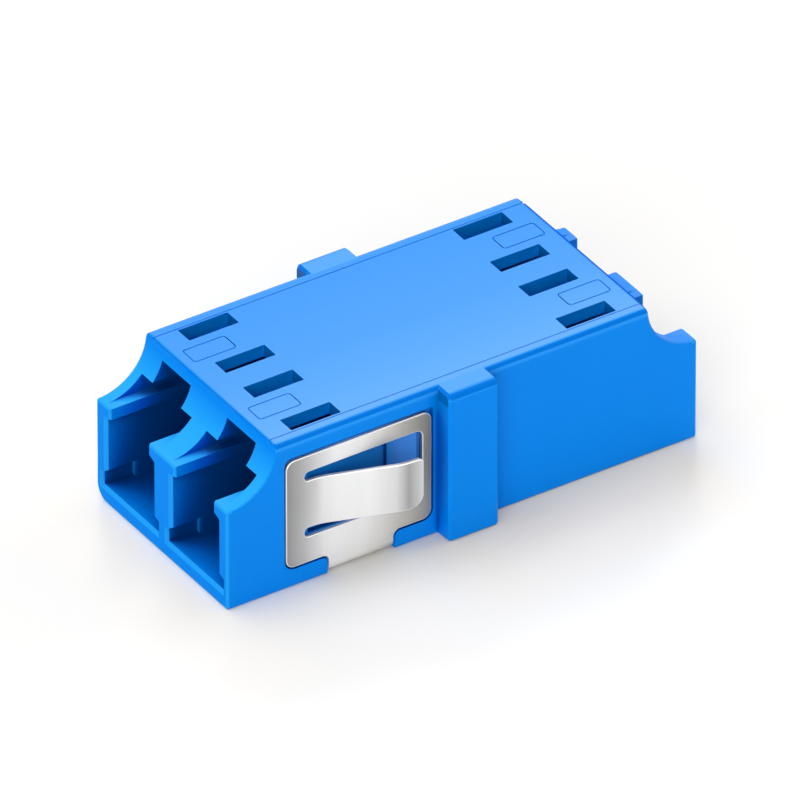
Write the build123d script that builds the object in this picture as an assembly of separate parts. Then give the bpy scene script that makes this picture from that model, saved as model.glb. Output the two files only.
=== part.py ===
from build123d import *
import os

# Duplex fibre optic adapter: two small-form ports on each end of one moulded
# housing, a split ceramic sleeve held between two retainers in each port, and
# one folded spring clip that holds the adapter in its panel cut-out.
# Lengths are in millimetres. X runs along the ports, Y across them, Z is up.
# The origin is the middle of the underside.

# Housing body
body_length = 29.2
body_width = 12.6
body_height = 9.2
top_edge_radius = 0.3
far_bottom_radius = 0.9
near_bottom_radius = 0.15

# Flange ribs that stop against the panel
flange_width = 3.1
flange_reach = 1.1
flange_radius = 0.4
flange_chamfer = 0.15

# Ports, one each side of the middle wall
port_pitch = 6.25
floor_thickness = 0.95
plug_width = 4.55
plug_height = 4.5
neck_width = 3.7
neck_height = 0.7
latch_width = 4.8
latch_height = 1.1
roof_thickness = 0.75
catch_gap = 2.75
under_slope = 0.15
lead_width = 5.35
lead_height = 1.0
lead_depth = 1.9
mouth_chamfer = 0.18
bulkhead_thickness = 1.8

# Catch slots, grooved marks and the groove along both edges of the top face
slot_setback = 1.48
slot_length = 3.07
slot_width = 1.12
slot_offset = 1.77
slot_radius = 0.05
mark_setback = 0.62
mark_length = 2.65
mark_width = 1.3
mark_radius = 0.22
mark_groove = 0.07
mark_depth = 0.08
edge_groove_inset = 0.72
edge_groove_width = 0.06
edge_groove_depth = 0.06

# Sleeve retainers
fit_gap = 0.02
plate_gap = 0.08
plate_thickness = 0.8
barrel_radius = 1.45
barrel_tip = 4.1
barrel_chamfer = 0.15
lip_radius = 0.7
lip_flare = 0.25
lip_length = 0.5
spigot_radius = 1.4
peg_radius = 0.4
peg_length = 1.2
peg_inset = 0.65

# Split alignment sleeves
sleeve_length = 6.8
sleeve_outer_radius = 0.81
sleeve_bore_radius = 0.6245
sleeve_gap = 0.065
sleeve_slit = 0.4
sleeve_chamfer = 0.08

# Spring clip
sheet = 0.25
clip_center_x = -6.45
plate_length = 9.0
plate_bottom = 1.18
plate_top = 7.9
plate_corner = 0.55
strap_center_x = -6.3
strap_width = 4.0
strap_corner = 0.4
bend_radius = 0.6
window_left = 1.15
window_right = 0.57
window_bottom = 1.6
window_top = 1.03
window_corner = 0.4
slit_height = 0.57
root_bar = 1.5
tongue_ramp = 18.4
tongue_root_radius = 3.0
tongue_tip_radius = 2.6
tongue_tip_angle = 4.0
tongue_ramp_length = 3.75
tongue_tip_length = 0.9
tongue_upper_corner = 0.3
tongue_lower_corner = 0.75
recess_gap = 0.1
recess_top_gap = 0.22
recess_front_corner = 0.45
recess_rear_corner = 0.12
pocket_depth = 0.25
pocket_inset = 0.05
pad_length = 2.0
pad_groove = 0.3
pad_groove_depth = 0.12

# Heights and places that follow from the sizes above
half_length = body_length / 2
half_width = body_width / 2
plug_top = floor_thickness + plug_height
head_height = plug_top + neck_height
catch_bottom = head_height + latch_height
ceiling = body_height - roof_thickness
scallop_radius = body_height - head_height
port_axis_z = floor_thickness + plug_height / 2
port_centers = (-port_pitch / 2, port_pitch / 2)
bulkhead_face = bulkhead_thickness / 2
slot_start = half_length - scallop_radius - slot_setback
slot_middle = slot_start - slot_length / 2
mark_middle = half_length - scallop_radius - mark_setback - mark_length / 2
barrel_bore_radius = sleeve_outer_radius + sleeve_gap
clip_left = clip_center_x - plate_length / 2
clip_right = clip_center_x + plate_length / 2

# How far a cutter runs past the face that it cuts
overrun = 1.0


def outline_prism(points, radii, reach=2 * body_width):
    """Prism across the whole width from an X-Z outline with rounded corners."""
    wire = FilletPolyline(*points, radius=radii, close=True)
    return extrude(Plane.XZ * make_face(wire), amount=reach / 2, both=True)


def both_ends(cutter):
    """The same cutter at the front end and, mirrored, at the rear end."""
    return [cutter, mirror(cutter, about=Plane.YZ)]


def body_block():
    """Body with its rounded long edges, before any opening is cut."""
    block = Pos(0, 0, body_height / 2) * Box(body_length, body_width, body_height)
    long_edges = block.edges().filter_by(Axis.X)
    block = fillet(long_edges.group_by(Axis.Z)[-1], top_edge_radius)
    bottom = block.edges().filter_by(Axis.X).group_by(Axis.Z)[0].sort_by(Axis.Y)
    block = fillet(bottom[-1], far_bottom_radius)
    bottom = block.edges().filter_by(Axis.X).group_by(Axis.Z)[0].sort_by(Axis.Y)
    return fillet(bottom[0], near_bottom_radius)


def flange_rib(side):
    """Rib on one side wall, rounded over at the top and bevelled all round."""
    inner = half_width - top_edge_radius
    outer = half_width + flange_reach
    rib = Pos(0, side * (inner + outer) / 2, body_height / 2) * Box(
        flange_width, outer - inner, body_height
    )
    outer_edges = rib.edges().filter_by(Axis.X).sort_by(Axis.Y)
    outer_pair = outer_edges[-2:] if side > 0 else outer_edges[:2]
    rib = fillet(outer_pair.sort_by(Axis.Z)[-1], flange_radius)
    upright = rib.edges().filter_by(Axis.Z).sort_by(Axis.Y)
    return chamfer(upright[-2:] if side > 0 else upright[:2], flange_chamfer)


def plug_section():
    """Half of the stepped port section below the catches, mirrored about its middle."""
    half = Polyline(
        (0, floor_thickness),
        (plug_width / 2, floor_thickness),
        (plug_width / 2, plug_top - under_slope),
        (neck_width / 2, plug_top),
        (neck_width / 2, head_height),
        (latch_width / 2, head_height),
        (latch_width / 2, catch_bottom),
        (catch_gap / 2, catch_bottom),
        (catch_gap / 2, ceiling),
        (0, ceiling),
        (0, floor_thickness),
    )
    face = make_face(half)
    return face + mirror(face, about=Plane.YZ)


def lead_section():
    """Wider entry above the floor, closed by a sloped shoulder."""
    shoulder = floor_thickness + lead_height
    half = Polyline(
        (0, floor_thickness),
        (lead_width / 2, floor_thickness),
        (lead_width / 2, shoulder - under_slope),
        (plug_width / 2, shoulder),
        (0, shoulder),
        (0, floor_thickness),
    )
    face = make_face(half)
    return face + mirror(face, about=Plane.YZ)


def mouth_section():
    """Outline of the port mouth that gets the lead-in bevel."""
    shoulder = floor_thickness + lead_height
    half = Polyline(
        (0, floor_thickness - mouth_chamfer),
        (lead_width / 2 + mouth_chamfer, floor_thickness - mouth_chamfer),
        (lead_width / 2 + mouth_chamfer, shoulder - under_slope),
        (plug_width / 2 + mouth_chamfer, shoulder),
        (plug_width / 2 + mouth_chamfer, plug_top - under_slope),
        (0, plug_top - under_slope),
        (0, floor_thickness - mouth_chamfer),
    )
    face = make_face(half)
    return face + mirror(face, about=Plane.YZ)


def port_cutters(center):
    """Everything that one front port takes out of the body."""
    front = Plane((-half_length, center, 0), x_dir=(0, 1, 0), z_dir=(1, 0, 0))
    depth = half_length - bulkhead_face
    channel = extrude(front * plug_section(), amount=depth)
    lead = extrude(front * lead_section(), amount=lead_depth)
    mouth = extrude(front * mouth_section(), amount=mouth_chamfer, taper=45)
    pocket_height = ceiling - head_height
    catch_pocket = Pos(-slot_middle, center, head_height + pocket_height / 2) * Box(
        slot_length, latch_width, pocket_height
    )
    return [channel, lead, mouth, catch_pocket]


def top_openings(center):
    """Two catch slots and the groove round one mark above a front port."""
    cutters = []
    roof = Plane((-slot_middle, center, ceiling - overrun))
    for side in (-1, 1):
        slot = RectangleRounded(slot_length, slot_width, slot_radius)
        place = roof * Pos(0, side * slot_offset)
        cutters.append(extrude(place * slot, amount=roof_thickness + 2 * overrun))
    inner_length = mark_length - 2 * mark_groove
    inner_width = mark_width - 2 * mark_groove
    ring = RectangleRounded(mark_length, mark_width, mark_radius)
    ring -= RectangleRounded(inner_length, inner_width, mark_radius - mark_groove)
    floor = Plane((-mark_middle, center, body_height - mark_depth))
    cutters.append(extrude(floor * ring, amount=overrun))
    return cutters


def edge_groove(side):
    """Fine groove along one edge of the top face."""
    middle = side * (half_width - edge_groove_inset)
    return Pos(0, middle, body_height) * Box(body_length, edge_groove_width, 2 * edge_groove_depth)


def scallop():
    """Round scoop across the top of the front end."""
    place = Pos(-half_length, 0, body_height) * Rot(90, 0, 0)
    return place * Cylinder(scallop_radius, 2 * body_width)


def clip_outline(grow, top_gap, front_corner, rear_corner):
    """Prism of the clip's side view, grown by a clearance, with its own top corners."""
    left = clip_left - grow
    right = clip_right + grow
    low = plate_bottom - grow
    high = plate_top + top_gap
    strap_left = strap_center_x - strap_width / 2 - grow
    strap_right = strap_center_x + strap_width / 2 + grow
    corner = plate_corner + grow
    notch = strap_corner - grow
    points = [
        (strap_left, -overrun),
        (strap_right, -overrun),
        (strap_right, low),
        (right, low),
        (right, high),
        (left, high),
        (left, low),
        (strap_left, low),
    ]
    radii = [0, 0, notch, corner, rear_corner, front_corner, corner, notch]
    return outline_prism(points, radii)


def clip_shell(inner_face, outer_face, top):
    """Straight run of folded sheet round both sides and the underside."""
    thick = outer_face - inner_face
    middle = (inner_face + outer_face) / 2
    wall = half_width + middle
    floor = -middle
    path = FilletPolyline(
        (-wall, top),
        (-wall, floor),
        (wall, floor),
        (wall, top),
        radius=bend_radius + middle,
    )
    section = Plane.YZ * trace(path, line_width=thick)
    return Pos(clip_center_x, 0, 0) * extrude(section, amount=plate_length, both=True)


def clip_recess():
    """Room for the clip in both side walls and under the body."""
    depth = sheet + fit_gap
    room = clip_shell(-depth, overrun, body_height + overrun)
    return room & clip_outline(
        recess_gap, recess_top_gap, recess_front_corner, recess_rear_corner
    )


def tongue_pocket(side):
    """Shallow pocket that the pressed tongue sinks into, with its rest pad."""
    left = clip_left + root_bar
    right = clip_right - window_right - pocket_inset
    low = plate_bottom + window_bottom + pocket_inset
    high = plate_top - window_top - pocket_inset
    face = side * (half_width - sheet - fit_gap)
    deep_right = right - pad_length
    deep = Pos((left + deep_right) / 2, face, (low + high) / 2) * Box(
        deep_right - left, 2 * pocket_depth, high - low
    )
    groove = Pos(right, face, (low + high) / 2) * Box(
        pad_groove, 2 * pad_groove_depth, high - low
    )
    return [deep, groove]


def bulkhead_bores(center):
    """Spigot bore and four peg holes through the bulkhead of one port."""
    middle = Plane((0, center, port_axis_z), x_dir=(0, 1, 0), z_dir=(1, 0, 0))
    bore = Circle(spigot_radius + fit_gap)
    hole = Circle(peg_radius + fit_gap)
    cut = bore + [Pos(u, v) * hole for u in peg_steps() for v in peg_steps()]
    return extrude(middle * cut, amount=bulkhead_thickness, both=True)


def peg_steps():
    """Distances of the peg axes from the port axis, either side."""
    reach = (plug_width / 2 - plate_gap) - peg_inset
    return (-reach, reach)


def housing():
    """The one-piece moulded housing."""
    body = body_block() + [flange_rib(-1), flange_rib(1)]
    cutters = both_ends(scallop())
    for center in port_centers:
        for cutter in port_cutters(center) + top_openings(center):
            cutters += both_ends(cutter)
        cutters.append(bulkhead_bores(center))
    cutters += [clip_recess(), edge_groove(-1), edge_groove(1)]
    cutters += tongue_pocket(-1) + tongue_pocket(1)
    for cutter in cutters:
        body -= cutter
    return body


def sleeve_retainer():
    """Barrel, seating plate, spigot and two pegs, for the rear side of a port."""
    plate_face = bulkhead_face + plate_thickness
    sleeve_stop = barrel_tip - lip_length
    outside = Polyline(
        (fit_gap, 0),
        (fit_gap, spigot_radius),
        (plate_face, spigot_radius),
        (plate_face, barrel_radius),
        (barrel_tip - barrel_chamfer, barrel_radius),
        (barrel_tip, barrel_radius - barrel_chamfer),
        (barrel_tip, 0),
        (fit_gap, 0),
    )
    inside = Polyline(
        (0, 0),
        (0, barrel_bore_radius),
        (sleeve_stop, barrel_bore_radius),
        (sleeve_stop, lip_radius),
        (barrel_tip, lip_radius + lip_flare),
        (barrel_tip, 0),
        (0, 0),
    )
    barrel = revolve(Plane.XY * make_face(outside), axis=Axis.X)
    bore = revolve(Plane.XY * make_face(inside), axis=Axis.X)
    back = Plane((bulkhead_face, 0, 0), x_dir=(0, 1, 0), z_dir=(1, 0, 0))
    outline = Rectangle(plug_width - 2 * plate_gap, plug_height - 2 * plate_gap)
    outline = chamfer(outline.vertices(), under_slope + plate_gap)
    plate = extrude(back * outline, amount=plate_thickness)
    low, high = peg_steps()
    pegs = [
        extrude(back * Pos(u, v) * Circle(peg_radius), amount=-peg_length)
        for u, v in ((low, low), (high, high))
    ]
    return barrel + plate + pegs - bore


def alignment_sleeve():
    """Split sleeve with its slit on top."""
    ring = Circle(sleeve_outer_radius) - Circle(sleeve_bore_radius)
    tube = extrude(Plane.YZ * ring, amount=sleeve_length / 2, both=True)
    rims = tube.edges().filter_by(GeomType.CIRCLE)
    outer_rims = [rim for rim in rims if rim.radius > sleeve_bore_radius + sleeve_chamfer]
    tube = chamfer(outer_rims, sleeve_chamfer)
    slit = Pos(0, 0, sleeve_outer_radius) * Box(
        2 * sleeve_length, sleeve_slit, 2 * sleeve_outer_radius
    )
    return tube - slit


def tongue(side):
    """Spring tongue, bent outwards from its root bar to its tip."""
    root = (clip_left + root_bar, half_width - sheet / 2)
    bend = JernArc(root, (1, 0), tongue_root_radius, tongue_ramp)
    ramp = Line(bend @ 1, bend @ 1 + tongue_ramp_length * (bend % 1))
    relax = JernArc(ramp @ 1, ramp % 1, tongue_tip_radius, tongue_tip_angle - tongue_ramp)
    tip = Line(relax @ 1, relax @ 1 + tongue_tip_length * (relax % 1))
    section = trace(Wire([bend, ramp, relax, tip]), line_width=sheet)
    low = plate_bottom + window_bottom + slit_height
    high = plate_top - window_top - slit_height
    blade = extrude(Plane((0, 0, low)) * section, amount=high - low)
    end = blade.bounding_box().max.X
    start = root[0] - root_bar
    points = [(start, low), (end, low), (end, high), (start, high)]
    blade = blade & outline_prism(points, [0, tongue_lower_corner, tongue_upper_corner, 0])
    return blade if side > 0 else mirror(blade, about=Plane.XZ)


def spring_clip():
    """One strip of spring steel: two side plates, a strap below, two tongues."""
    clip = clip_shell(-sheet, 0, plate_top) & clip_outline(0, 0, plate_corner, plate_corner)
    left = clip_left + window_left
    right = clip_right - window_right
    low = plate_bottom + window_bottom
    high = plate_top - window_top
    tongue_low = low + slit_height
    tongue_high = high - slit_height
    root = clip_left + root_bar
    tip = slit_height / 2.1
    points = [
        (left, low),
        (right, low),
        (right, high),
        (left, high),
        (left, tongue_high),
        (root, tongue_high),
        (root, tongue_low),
        (left, tongue_low),
    ]
    radii = [tip, window_corner, window_corner, tip, tip, 0, 0, tip]
    clip -= outline_prism(points, radii)
    return clip + [tongue(-1), tongue(1)]


def main():
    os.makedirs("parts", exist_ok=True)
    export_step(housing(), "parts/housing.step")
    export_step(spring_clip(), "parts/spring_clip.step")
    retainer = sleeve_retainer()
    sleeve = alignment_sleeve()
    for name, center in zip(("right", "left"), port_centers):
        place = Pos(0, center, port_axis_z)
        export_step(place * sleeve, f"parts/alignment_sleeve_{name}.step")
        export_step(place * retainer, f"parts/rear_retainer_{name}.step")
        export_step(place * Rot(0, 0, 180) * retainer, f"parts/front_retainer_{name}.step")


main()
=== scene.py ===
import math

import bmesh
import bpy
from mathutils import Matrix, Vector


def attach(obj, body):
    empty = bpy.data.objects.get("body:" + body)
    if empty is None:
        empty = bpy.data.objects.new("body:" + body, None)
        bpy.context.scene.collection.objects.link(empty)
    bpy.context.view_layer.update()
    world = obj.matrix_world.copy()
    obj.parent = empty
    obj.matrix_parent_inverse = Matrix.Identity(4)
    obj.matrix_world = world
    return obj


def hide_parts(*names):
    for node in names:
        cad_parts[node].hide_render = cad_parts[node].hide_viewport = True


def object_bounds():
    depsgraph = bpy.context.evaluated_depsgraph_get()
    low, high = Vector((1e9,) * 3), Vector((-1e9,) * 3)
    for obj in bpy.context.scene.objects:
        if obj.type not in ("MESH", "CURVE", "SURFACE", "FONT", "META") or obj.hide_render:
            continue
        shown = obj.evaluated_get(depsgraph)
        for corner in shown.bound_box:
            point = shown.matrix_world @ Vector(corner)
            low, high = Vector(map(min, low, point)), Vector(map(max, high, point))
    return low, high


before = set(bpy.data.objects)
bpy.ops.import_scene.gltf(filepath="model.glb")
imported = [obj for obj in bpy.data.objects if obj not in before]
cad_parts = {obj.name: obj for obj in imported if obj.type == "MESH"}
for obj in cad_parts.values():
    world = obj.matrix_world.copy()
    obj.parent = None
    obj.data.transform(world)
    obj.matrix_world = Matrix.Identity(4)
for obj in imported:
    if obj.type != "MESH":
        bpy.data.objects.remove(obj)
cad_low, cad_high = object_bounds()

MM = 0.001

# Camera, from a fit to the photograph: angles in degrees, the sensor in millimetres
view_azimuth = -33.0
view_elevation = 34.6
view_distance = 1.481
pixels_per_mm = 19.165
image_width = 800
sensor_width = 36.0
aim_height = 4.5 * MM
aim_pixel = (397.1, 394.8)

# Housing sizes, as its solid has them, the channel's reach with 0.02 mm to spare
half_length = cad_high[0]
body_top = cad_high[2]
half_width = 6.3 * MM
top_rounding = 0.3 * MM
port_center = 6.25 * MM / 2
plug_top = 5.45 * MM
ear_top = 6.15 * MM
scoop_radius = body_top - ear_top
scoop_start = half_length - scoop_radius
channel_reach = 4.8 * MM / 2 + 0.02 * MM
channel_roof = ear_top + 1.1 * MM
notch_reach = 2.75 * MM / 2
notch_roof = body_top - 0.75 * MM
lead_end = half_length - 1.9 * MM
recess_floor = 6.03 * MM

# Clip sizes, as its solid has them
clip_front = -10.95 * MM
clip_rear = -1.95 * MM
clip_top = 7.9 * MM

# Sizes of the finish
weld_distance = 0.001 * MM
flat_angle = math.radians(0.5)
corner_angle = math.radians(50)
crease_angle = math.radians(33)
housing_rounding = 0.15 * MM
clip_rounding = 0.055 * MM
sleeve_rounding = 0.02 * MM
retainer_rounding = 0.05 * MM
cavity_reach = 8.0 * MM
floor_radius = 0.6

# Stretches of the part over which one tone goes into the next, most of them for painted light and
# shade
across_top = (5.0 * MM, -6.0 * MM)
behind_window = (-10.0 * MM, -2.0 * MM)
before_lead_in = (11.0 * MM, 12.5 * MM)
up_slot = (7.3 * MM, 8.0 * MM)
up_plate = (2.0 * MM, 5.5 * MM)
towards_rib = (-7.5 * MM, -2.0 * MM)
along_floor = (-16.0 * MM, 16.0 * MM)
shadow_past_end = 7.0 * MM
shadow_past_side = 9.0 * MM

# Painted highlights for rounded edges, written on their faces
edge_highlight_mark = "painted_edge_highlight"
end_light = 0.6
slant_light = 0.8
ledge_light = 0.4
lit_ledge_top = 2.4 * MM

# Colours that come back
white = (1.0, 1.0, 1.0)
mould_blue = (0.0, 0.26, 0.92)
# Painted shade for the long edges' rounding, and painted highlight colours for rounded edges of the
# plastic and the steel
shaded_blue = (0.0, 0.185, 0.74)
edge_highlight_blue = (0.02, 0.38, 0.95)
edge_highlight_steel = (0.92, 0.92, 0.92)

# Soft suns: name, azimuth, elevation, strength and angular width, with angles in degrees
suns = (
    ("back_key", 148, 36, 0.48, 14),
    ("overhead", 0, 88, 1.24, 60),
    ("front_left", -45, 20, 1.31, 45),
    ("front", 0, 20, 0.17, 45),
    ("front_right", 45, 20, 0.14, 45),
    ("right", 90, 20, 0.63, 45),
    ("left", -115, 50, 0.74, 45),
    ("back", 180, 50, 0.78, 45),
)
ambient_strength = 0.04
backdrop_strength = 1.0


def new_material(name):
    """A material with its output and principled shader, joined and otherwise empty."""
    material = bpy.data.materials.new(name)
    material.use_nodes = True
    nodes = material.node_tree.nodes
    nodes.clear()
    output = nodes.new("ShaderNodeOutputMaterial")
    shader = nodes.new("ShaderNodeBsdfPrincipled")
    material.node_tree.links.new(shader.outputs["BSDF"], output.inputs["Surface"])
    return material, shader


def plug_in(material, source, socket):
    """Sets a socket to a number or a colour, or links it to another node's output."""
    if isinstance(source, (int, float)):
        socket.default_value = source
    elif isinstance(source, tuple):
        socket.default_value = (*source, 1.0)
    else:
        material.node_tree.links.new(source, socket)


def calculate(material, operation, first, second=0.0):
    """One step of arithmetic in a material or the world; returns its result."""
    node = material.node_tree.nodes.new("ShaderNodeMath")
    node.operation = operation
    plug_in(material, first, node.inputs[0])
    plug_in(material, second, node.inputs[1])
    return node.outputs["Value"]


def unsigned(material, source):
    """A value without its sign, which makes both sides of the part alike."""
    return calculate(material, "ABSOLUTE", source)


def product(material, *parts):
    """All parts multiplied, so an area is where every one of them is 1."""
    total = parts[0]
    for part in parts[1:]:
        total = calculate(material, "MULTIPLY", total, part)
    return total


def remainder(material, share):
    """What a share leaves of 1."""
    return calculate(material, "SUBTRACT", 1.0, share)


def spread(material, source, low, high, start=0.0, stop=1.0):
    """Maps a value from one range to another, and holds it at the ends."""
    node = material.node_tree.nodes.new("ShaderNodeMapRange")
    node.inputs["From Min"].default_value = start
    node.inputs["From Max"].default_value = stop
    node.inputs["To Min"].default_value = low
    node.inputs["To Max"].default_value = high
    plug_in(material, source, node.inputs["Value"])
    return node.outputs["Result"]


def rising(material, source, start, stop):
    """A share that grows from 0 to 1 between start and stop."""
    return spread(material, source, 0.0, 1.0, start, stop)


def falling(material, source, start, stop):
    """A share that falls from 1 to 0 between start and stop."""
    return spread(material, source, 1.0, 0.0, start, stop)


def split_axes(material, coordinate):
    """X, Y and Z of the place on the part (Object) or of the way its surface faces (Normal)."""
    nodes = material.node_tree.nodes
    place = nodes.new("ShaderNodeTexCoord")
    split = nodes.new("ShaderNodeSeparateXYZ")
    plug_in(material, place.outputs[coordinate], split.inputs["Vector"])
    return split.outputs


def noise(material, scale, detail=2.0, stretch=(1.0, 1.0, 1.0)):
    """Noise on object coordinates, drawn out along an axis where the stretch is under 1."""
    nodes = material.node_tree.nodes
    place = nodes.new("ShaderNodeTexCoord")
    mapping = nodes.new("ShaderNodeMapping")
    mapping.inputs["Scale"].default_value = stretch
    texture = nodes.new("ShaderNodeTexNoise")
    texture.inputs["Scale"].default_value = scale
    texture.inputs["Detail"].default_value = detail
    plug_in(material, place.outputs["Object"], mapping.inputs["Vector"])
    plug_in(material, mapping.outputs["Vector"], texture.inputs["Vector"])
    return texture


def shades(material, source, stops):
    """Colour ramp through a list of (position, colour)."""
    node = material.node_tree.nodes.new("ShaderNodeValToRGB")
    ramp = node.color_ramp.elements
    for index, (position, colour) in enumerate(stops):
        stop = ramp[index] if index < 2 else ramp.new(position)
        stop.position = position
        stop.color = (*colour, 1.0)
    plug_in(material, source, node.inputs["Fac"])
    return node.outputs["Color"]


def greys(*stops):
    """Neutral colours for a ramp from pairs of position and tone."""
    return [(position, (tone, tone, tone)) for position, tone in stops]


def mottled(material, texture, first, second):
    """Two close tones that a noise texture goes between."""
    return shades(material, texture.outputs["Fac"], ((0.35, first), (0.65, second)))


def mixed(material, kind, share, first, second):
    """Two colours put together by a Mix node of the given kind."""
    node = material.node_tree.nodes.new("ShaderNodeMix")
    node.data_type = "RGBA"
    node.blend_type = kind
    plug_in(material, share, node.inputs["Factor"])
    plug_in(material, first, node.inputs[6])
    plug_in(material, second, node.inputs[7])
    return node.outputs[2]


def blend(material, share, first, second):
    """Goes from the first colour to the second as the share grows."""
    return mixed(material, "MIX", share, first, second)


def multiply(material, first, second, share=1.0):
    """The first colour times the second, which darkens or tints it."""
    return mixed(material, "MULTIPLY", share, first, second)


def relief(material, shader, source, depth, strength):
    """Surface relief of a real depth, in metres."""
    node = material.node_tree.nodes.new("ShaderNodeBump")
    node.inputs["Distance"].default_value = depth
    node.inputs["Strength"].default_value = strength
    plug_in(material, source, node.inputs["Height"])
    plug_in(material, node.outputs["Normal"], shader.inputs["Normal"])


def openness(material):
    """How open the surface is, from 0 deep in a hollow to 1 in the open."""
    node = material.node_tree.nodes.new("ShaderNodeAmbientOcclusion")
    node.samples = 16
    node.only_local = True
    node.inputs["Distance"].default_value = cavity_reach
    return node.outputs["AO"]


def painted_edge_light(material):
    """The painted highlight that is written on the faces of rounded edges."""
    node = material.node_tree.nodes.new("ShaderNodeAttribute")
    node.attribute_name = edge_highlight_mark
    return node.outputs["Fac"]


class HousingPlace:
    """Where a point lies on the housing: its coordinates, the way it faces and the areas it is in."""

    def __init__(self, material):
        self.x, self.y, self.height = split_axes(material, "Object")
        lengthways, _, self.upward = split_axes(material, "Normal")
        self.faces_an_end = rising(material, unsigned(material, lengthways), 0.7, 0.9)
        self.along = unsigned(material, self.x)
        self.outward = unsigned(material, self.y)
        self.above_ledge = rising(material, self.height, ear_top + 0.03 * MM, ear_top + 0.05 * MM)
        off_port = unsigned(material, calculate(material, "SUBTRACT", self.outward, port_center))
        in_channel = product(
            material,
            falling(material, off_port, channel_reach - 0.015 * MM, channel_reach),
            self.above_ledge,
            falling(material, self.height, channel_roof - 0.02 * MM, channel_roof),
        )
        self.in_notch = product(
            material,
            falling(material, off_port, notch_reach + 0.005 * MM, notch_reach + 0.02 * MM),
            self.above_ledge,
            falling(material, self.height, notch_roof + 0.005 * MM, notch_roof + 0.02 * MM),
        )
        self.in_scoop = product(
            material,
            falling(material, self.outward, half_width - 0.1 * MM, half_width),
            rising(material, self.height, ear_top - 0.05 * MM, ear_top - 0.01 * MM),
            rising(material, self.along, scoop_start - 0.02 * MM, scoop_start),
            remainder(material, calculate(material, "MAXIMUM", in_channel, self.in_notch)),
        )


def with_top_sheen(material, place, tone):
    """The top face, with a painted sheen that grows lighter towards its -Y side."""
    on_top = rising(material, place.height, body_top - 0.05 * MM, body_top - 0.01 * MM)
    top_sheen_tone = shades(material, rising(material, place.y, *across_top), (
        (0.0, mould_blue),
        (0.5, (0.02, 0.285, 0.92)),
        (1.0, (0.07, 0.345, 0.93)),
    ))
    return blend(material, on_top, tone, top_sheen_tone)


def with_long_edge_light(material, place, tone):
    """Painted light and shade on the rounded long edges: a painted highlight line low down, a painted
    darker band and painted light again at the top.
    """
    edge_light_and_shade = shades(material, place.upward, (
        (0.03, mould_blue),
        (0.12, (0.02, 0.35, 1.0)),
        (0.25, mould_blue),
        (0.38, shaded_blue),
        (0.9, shaded_blue),
        (0.97, (0.04, 0.32, 0.92)),
    ))
    inner_side = half_width - top_rounding
    on_rounding = product(
        material,
        rising(material, place.outward, inner_side - 0.02 * MM, inner_side),
        rising(material, place.height, body_top - 0.45 * MM, body_top - 0.43 * MM),
    )
    tone = blend(material, on_rounding, tone, edge_light_and_shade)
    on_highlight_line = product(
        material,
        rising(material, place.outward, half_width - 0.03 * MM, half_width - 0.01 * MM),
        falling(material, place.outward, half_width + 0.01 * MM, half_width + 0.03 * MM),
        rising(material, place.height, body_top - 0.48 * MM, body_top - 0.32 * MM),
    )
    return blend(material, on_highlight_line, tone, (0.02, 0.33, 1.0))


def with_scoop_light(material, place, tone):
    """Painted light on the scoops at both ends, brightest where they run out onto the ears."""
    rise = rising(material, place.height, ear_top, ear_top + scoop_radius)
    front_scoop_light = shades(material, rise, (
        (0.0, (0.025, 0.4, 0.93)),
        (0.3, (0.02, 0.38, 0.93)),
        (0.85, mould_blue),
    ))
    rear_scoop_light = shades(material, rise, ((0.0, (0.06, 0.31, 0.93)), (0.85, (0.02, 0.26, 0.92))))
    at_rear = rising(material, place.x, -MM, MM)
    return blend(material, place.in_scoop, tone, blend(material, at_rear, front_scoop_light, rear_scoop_light))


def with_pocket_light(material, place, tone):
    """The recess and pocket behind the clip's window, with painted shade behind the window and
    painted light past the tongue's tip.
    """
    in_pocket = product(
        material,
        rising(material, place.outward, recess_floor - 0.3 * MM, recess_floor - 0.25 * MM),
        falling(material, place.outward, recess_floor + 0.07 * MM, recess_floor + 0.1 * MM),
        falling(material, place.height, clip_top - 0.1 * MM, clip_top + 0.1 * MM),
        falling(material, place.x, clip_rear - 0.25 * MM, clip_rear - 0.05 * MM),
        rising(material, place.x, clip_front - 0.05 * MM, clip_front + 0.05 * MM),
    )
    pocket_light_and_shade = shades(material, rising(material, place.x, *behind_window), (
        (0.0, (0.005, 0.22, 0.72)),
        (0.6, (0.01, 0.2, 0.6)),
        (0.68, (0.02, 0.22, 0.66)),
        (0.78, (0.06, 0.27, 0.82)),
        (1.0, (0.05, 0.3, 0.9)),
    ))
    return blend(material, in_pocket, tone, pocket_light_and_shade)


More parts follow.
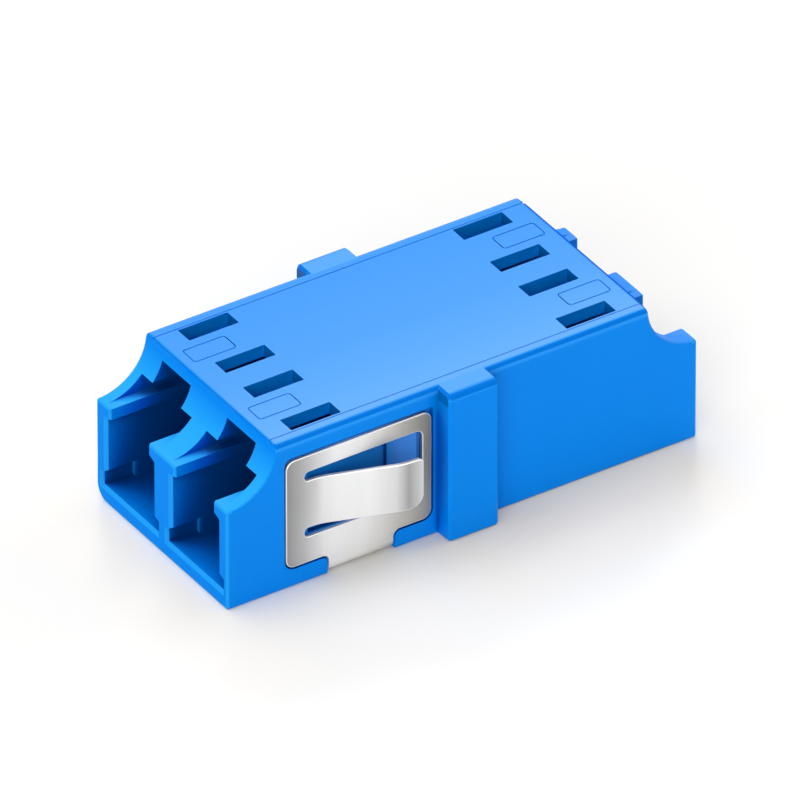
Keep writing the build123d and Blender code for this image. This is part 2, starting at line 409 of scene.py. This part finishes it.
def hollow_shade(material, place):
    """Painted shade that the plastic's colour is multiplied by in the ports, latch channels and
    slots, from an ambient occlusion node through given tones; deep in the slots the tones go over 1,
    which paints light there.
    """
    open_share = openness(material)
    port_shade = shades(material, open_share, (
        (0.2, (0.18, 0.2, 0.26)),
        (0.4, (0.18, 0.18, 0.24)),
        (0.52, (0.36, 0.35, 0.56)),
        (0.64, white),
    ))
    channel_shade = shades(material, open_share, (
        (0.15, (0.2, 0.22, 0.32)),
        (0.35, (0.3, 0.28, 0.5)),
        (0.5, (0.5, 0.42, 0.85)),
        (0.64, white),
    ))
    slot_shade = shades(material, open_share, (
        (0.1, (1.2, 1.6, 1.2)),
        (0.24, (1.1, 1.35, 1.0)),
        (0.34, (0.85, 0.9, 0.75)),
        (0.5, (0.75, 0.78, 0.66)),
        (0.8, white),
    ))
    near_channel = product(
        material,
        rising(material, place.height, plug_top - 0.05 * MM, plug_top + 0.05 * MM),
        rising(material, place.along, *before_lead_in),
    )
    shade = blend(material, near_channel, port_shade, channel_shade)
    near_top = product(
        material,
        rising(material, place.height, *up_slot),
        remainder(material, place.in_notch),
    )
    shade = blend(material, near_top, shade, slot_shade)
    at_slot_end = product(
        material,
        place.faces_an_end,
        rising(material, place.height, notch_roof - 0.05 * MM, notch_roof),
        falling(material, place.height, body_top - 0.02 * MM, body_top - 0.01 * MM),
        falling(material, place.along, scoop_start - MM, scoop_start - 0.9 * MM),
    )
    # Painted shade on the slots' end walls
    shade = blend(material, at_slot_end, shade, (0.5, 0.55, 0.48))
    # The scoops near the ends and above the ledges get no painted shade
    near_end = rising(material, place.along, half_length - 2.3 * MM, half_length - 0.6 * MM)
    lit = calculate(material, "MAXIMUM", near_end, place.above_ledge)
    return blend(material, product(material, place.in_scoop, lit), shade, white)


def blue_plastic():
    """Satin moulded plastic with a fine spark-eroded grain, with painted shade in its hollows and
    painted light on its top face, long edges, scoops, pocket and rounded edges.
    """
    material, shader = new_material("blue_plastic")
    cloud = noise(material, 180.0, 3.0)
    grain = noise(material, 9000.0).outputs["Fac"]
    place = HousingPlace(material)
    tone = mottled(material, cloud, (0.0, 0.25, 0.9), mould_blue)
    # Painted sheen, light and shade of the top face, long edges, scoops and pocket
    for with_painted_area in (with_top_sheen, with_long_edge_light, with_scoop_light, with_pocket_light):
        tone = with_painted_area(material, place, tone)
    # Painted shade in the hollows
    tone = multiply(material, tone, hollow_shade(material, place))
    # Painted highlight on the rounded edges
    tone = blend(material, painted_edge_light(material), tone, edge_highlight_blue)
    plug_in(material, tone, shader.inputs["Base Color"])
    plug_in(material, spread(material, grain, 0.22, 0.3), shader.inputs["Roughness"])
    shader.inputs["IOR"].default_value = 1.5
    at_end_face = rising(material, place.along, half_length - 0.2 * MM, half_length - 0.1 * MM)
    dull = calculate(material, "MAXIMUM", place.in_scoop, at_end_face)
    plug_in(material, spread(material, dull, 0.05, 0.01), shader.inputs["Specular IOR Level"])
    relief(material, shader, grain, 0.002 * MM, 0.25)
    return material


def spring_steel():
    """Rolled strip, brushed upright, with painted shade darker towards its ends, a painted dark band
    at the tongue's bend and painted highlights bright on its edges.
    """
    material, shader = new_material("brushed_spring_steel")
    x, y, height = split_axes(material, "Object")
    along = rising(material, x, clip_front, clip_rear)
    # Painted light along the clip: bright in the middle and painted shade towards the ends, with a
    # painted dark band at the tongue's bend
    upper_light = shades(material, along, greys(
        (0.0, 0.29), (0.12, 0.48), (0.26, 0.78), (0.33, 0.92), (0.42, 0.94),
        (0.53, 0.94), (0.66, 0.8), (0.8, 0.48), (0.93, 0.3), (1.0, 0.28),
    ))
    foot_light = shades(material, along, greys(
        (0.0, 0.33), (0.12, 0.56), (0.26, 0.92), (0.33, 1.0), (0.42, 1.0),
        (0.53, 1.0), (0.66, 0.86), (0.8, 0.64), (0.93, 0.45), (1.0, 0.38),
    ))
    tongue_light = shades(material, along, greys(
        (0.2, 0.8), (0.33, 0.92), (0.52, 0.92), (0.66, 0.75), (0.74, 0.4), (0.84, 0.72),
    ))
    near_rib = rising(material, x, *towards_rib)
    warmth = shades(material, near_rib, ((0.0, white), (1.0, (1.0, 0.96, 0.84))))
    plate_light = blend(material, rising(material, height, *up_plate), foot_light, upper_light)
    plate_light = multiply(material, plate_light, warmth)
    outward = unsigned(material, y)
    raised = rising(material, outward, half_width + 0.02 * MM, half_width + 0.1 * MM)
    streak = noise(material, 9000.0, stretch=(1.0, 1.0, 0.04))
    tone = blend(material, raised, plate_light, tongue_light)
    tone = multiply(material, tone, streak.outputs["Color"], 0.08)
    # Painted highlight on the clip's edges
    tone = blend(material, painted_edge_light(material), tone, edge_highlight_steel)
    plug_in(material, tone, shader.inputs["Base Color"])
    shader.inputs["Metallic"].default_value = 0.55
    plug_in(material, spread(material, streak.outputs["Fac"], 0.3, 0.42), shader.inputs["Roughness"])
    relief(material, shader, streak.outputs["Fac"], 0.001 * MM, 0.3)
    return material


def white_ceramic():
    """Ground and polished white ceramic with a faint grain."""
    material, shader = new_material("white_ceramic")
    grain = noise(material, 6000.0)
    tone = mottled(material, grain, (0.86, 0.86, 0.83), (0.9, 0.9, 0.88))
    plug_in(material, tone, shader.inputs["Base Color"])
    plug_in(material, spread(material, grain.outputs["Fac"], 0.12, 0.2), shader.inputs["Roughness"])
    return material


def joined_form(node):
    """A copy of a solid's form with its loose triangles joined into whole faces."""
    form = bmesh.new()
    form.faces.layers.float.new(edge_highlight_mark)
    form.from_mesh(node.data)
    form.transform(node.matrix_world)
    bmesh.ops.remove_doubles(form, verts=form.verts, dist=weld_distance)
    bmesh.ops.dissolve_limit(form, angle_limit=flat_angle, verts=form.verts, edges=form.edges)
    return form


def round_edges(form, width, wanted, light):
    """Rounds the sharp outward edges whose middle the test wants, and writes a painted highlight on
    their faces.
    """
    chosen = []
    for edge in form.edges:
        if not edge.is_manifold or not edge.is_convex:
            continue
        if edge.calc_face_angle() < corner_angle:
            continue
        if wanted((edge.verts[0].co + edge.verts[1].co) / 2):
            chosen.append(edge)
    eased = form.faces.layers.float[edge_highlight_mark]
    made = bmesh.ops.bevel(
        form, geom=chosen, offset=width, offset_type="OFFSET", affect="EDGES",
        segments=3, profile=0.5, material=-1, clamp_overlap=False,
    )
    for face in made["faces"]:
        face[eased] = light


def finished_piece(form, name, material, slot, *nodes):
    """A visible piece that stands for solids of the part, smooth over its small roundings."""
    for face in form.faces:
        face.smooth = True
    for edge in form.edges:
        edge.smooth = edge.is_manifold and edge.calc_face_angle() < crease_angle
    mesh = bpy.data.meshes.new(name)
    form.to_mesh(mesh)
    form.free()
    mesh.materials.clear()
    mesh.materials.append(material)
    piece = bpy.data.objects.new(name, mesh)
    bpy.context.collection.objects.link(piece)
    normals = piece.modifiers.new("even_shading", "WEIGHTED_NORMAL")
    normals.keep_sharp = True
    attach(piece, "root")
    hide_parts(*nodes)


def at_an_end(point):
    """True on the ends and scoops, but not in a latch channel."""
    off_port = abs(abs(point.y) - port_center)
    if point.z > ear_top + 0.002 * MM and off_port < channel_reach:
        return False
    return abs(point.x) > scoop_start - 0.05 * MM


def on_a_rib(point):
    """True on the flange ribs, which stand proud of the side walls."""
    return abs(point.y) > half_width + 0.1 * MM


def anywhere(point):
    """True on the whole piece."""
    return True


def write_end_light(form):
    """Takes the painted highlight off all but the outermost edges, and paints light on slanting faces
    and lead-in ledges.
    """
    eased = form.faces.layers.float[edge_highlight_mark]
    for face in form.faces:
        place = face.calc_center_median()
        slope = abs(face.normal.x)
        on_ledge = abs(abs(place.x) - lead_end) < 0.01 * MM and slope > 0.99
        if abs(place.x) < half_length - 0.3 * MM:
            face[eased] = 0.0
        elif 0.6 < slope < 0.8:
            face[eased] = slant_light
        if on_ledge and place.z < lit_ledge_top:
            face[eased] = ledge_light


def housing_skin(material):
    """The housing, with soft edges at its ends and flange and crisp ones elsewhere, and a painted
    highlight on the ends' rounded edges.
    """
    form = joined_form(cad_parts["housing"])
    round_edges(form, housing_rounding, at_an_end, end_light)
    round_edges(form, housing_rounding, on_a_rib, 0.0)
    write_end_light(form)
    finished_piece(form, "housing_skin", material, "housing", "housing")


def clip_strip(material):
    """The folded clip with its stamped edges eased and a painted highlight written on them."""
    form = joined_form(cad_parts["spring_clip"])
    round_edges(form, clip_rounding, anywhere, 1.0)
    finished_piece(form, "clip_strip", material, "spring_steel", "spring_clip")


def finish_node(piece, material, width):
    """A hidden piece keeps its form: its edges are eased and it gets its material."""
    for slot in piece.material_slots:
        slot.material = material
    weld = piece.modifiers.new("weld", "WELD")
    weld.merge_threshold = weld_distance
    flat = piece.modifiers.new("flat", "DECIMATE")
    flat.decimate_type = "DISSOLVE"
    flat.angle_limit = flat_angle
    ease = piece.modifiers.new("ease", "BEVEL")
    ease.width = width
    ease.segments = 2
    ease.limit_method = "ANGLE"
    ease.angle_limit = corner_angle
    ease.harden_normals = True


def floor_paper():
    """Pale paper with painted tints: a painted warm tint where the part's shadow lies, painted shade
    beside the clip's strap and painted light beside the rest of the sides.
    """
    material, shader = new_material("floor")
    paper = noise(material, 40.0)
    tone = mottled(material, paper, (0.93, 0.92, 0.9), (0.94, 0.93, 0.91))
    x, y, _ = split_axes(material, "Object")
    # Painted tint in the part's shadow, warm against the blue light bounced off the part
    by_end = falling(material, unsigned(material, x), half_length, half_length + shadow_past_end)
    by_side = falling(material, unsigned(material, y), half_width, half_width + shadow_past_side)
    lengthwise = rising(material, x, *along_floor)
    shadow_tint_stretch = shades(material, lengthwise, greys(
        (0.0, 0.4), (0.1, 0.4), (0.2, 0.12), (0.37, 0.12), (0.47, 1.0), (0.9, 1.0), (0.98, 0.12),
    ))
    shadow_tint = shades(material, product(material, by_end, by_side, shadow_tint_stretch), (
        (0.0, white),
        (0.5, (1.04, 0.99, 0.9)),
        (1.0, (1.07, 0.93, 0.72)),
    ))
    # Painted shade beside the clip's strap and painted light beside the rest of the sides
    contact_shade_and_light = shades(material, lengthwise, greys(
        (0.0, 1.0), (0.1, 1.05), (0.16, 1.0), (0.2, 0.95), (0.25, 0.77), (0.3, 0.74),
        (0.345, 0.83), (0.375, 0.95), (0.5, 1.0), (0.6, 1.07), (0.92, 1.07), (1.0, 1.0),
    ))
    close_by = rising(material, by_side, 0.6, 0.95)
    contact = blend(material, product(material, close_by, close_by), white, contact_shade_and_light)
    tone = multiply(material, multiply(material, tone, shadow_tint), contact)
    plug_in(material, tone, shader.inputs["Base Color"])
    shader.inputs["Roughness"].default_value = 0.9
    shader.inputs["Specular IOR Level"].default_value = 0.0
    return material


def add_floor():
    """Plain pale floor under the part."""
    mesh = bpy.data.meshes.new("floor")
    shape = bmesh.new()
    bmesh.ops.create_circle(shape, cap_ends=True, radius=floor_radius, segments=64)
    shape.to_mesh(mesh)
    shape.free()
    mesh.materials.append(floor_paper())
    floor = bpy.data.objects.new("floor", mesh)
    bpy.context.collection.objects.link(floor)


def direction(azimuth, elevation):
    """The way out from the part: azimuth 0 is towards -Y and 90 towards +X, in degrees."""
    turn = math.radians(azimuth)
    rise = math.radians(elevation)
    return Vector((math.sin(turn) * math.cos(rise), -math.cos(turn) * math.cos(rise), math.sin(rise)))


def add_looking_back(name, data, out):
    """Adds a lamp or camera that looks back along the way out."""
    piece = bpy.data.objects.new(name, data)
    piece.rotation_mode = "QUATERNION"
    piece.rotation_quaternion = out.to_track_quat("Z", "Y")
    bpy.context.collection.objects.link(piece)
    return piece


def add_sun(name, azimuth, elevation, strength, width):
    """Soft distant light that comes from the given side."""
    lamp = bpy.data.lights.new(name, "SUN")
    lamp.energy = strength
    lamp.angle = math.radians(width)
    add_looking_back(name, lamp, direction(azimuth, elevation))


def add_world():
    """Dim even surroundings that the camera, gloss and glass see as a plain pale backdrop."""
    world = bpy.data.worlds.new("studio")
    bpy.context.scene.world = world
    world.use_nodes = True
    nodes = world.node_tree.nodes
    nodes.clear()
    output = nodes.new("ShaderNodeOutputWorld")
    rays = nodes.new("ShaderNodeLightPath").outputs
    seen = calculate(world, "MAXIMUM", rays["Is Camera Ray"], rays["Is Glossy Ray"])
    seen_through = calculate(world, "MAXIMUM", seen, rays["Is Transmission Ray"])
    mix = nodes.new("ShaderNodeMixShader")
    plug_in(world, seen_through, mix.inputs["Fac"])
    for index, strength in ((1, ambient_strength), (2, backdrop_strength)):
        light = nodes.new("ShaderNodeBackground")
        light.inputs["Strength"].default_value = strength
        plug_in(world, light.outputs["Background"], mix.inputs[index])
    plug_in(world, mix.outputs["Shader"], output.inputs["Surface"])


def add_camera():
    """Long lens at the photograph's angle, placed by the fitted aim point."""
    out = direction(view_azimuth, view_elevation)
    turn = math.radians(view_azimuth)
    right = Vector((math.cos(turn), math.sin(turn), 0.0))
    up = out.cross(right)
    pixel = MM / pixels_per_mm
    aim = Vector((0.0, 0.0, aim_height))
    aim += right * (image_width / 2 - aim_pixel[0]) * pixel
    aim -= up * (image_width / 2 - aim_pixel[1]) * pixel
    lens = bpy.data.cameras.new("camera")
    lens.sensor_width = sensor_width
    lens.lens = sensor_width * view_distance / (image_width * pixel)
    lens.clip_start = 0.1
    lens.clip_end = 10.0
    camera = add_looking_back("camera", lens, out)
    camera.location = aim + out * view_distance
    bpy.context.scene.camera = camera


plastic = blue_plastic()
steel = spring_steel()
ceramic = white_ceramic()
housing_skin(plastic)
clip_strip(steel)
for side in ("left", "right"):
    finish_node(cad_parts["alignment_sleeve_" + side], ceramic, sleeve_rounding)
    for end in ("front", "rear"):
        finish_node(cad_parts[end + "_retainer_" + side], plastic, retainer_rounding)

add_floor()
for sun in suns:
    add_sun(*sun)
add_world()
add_camera()
bpy.context.scene.view_settings.view_transform = "Standard"
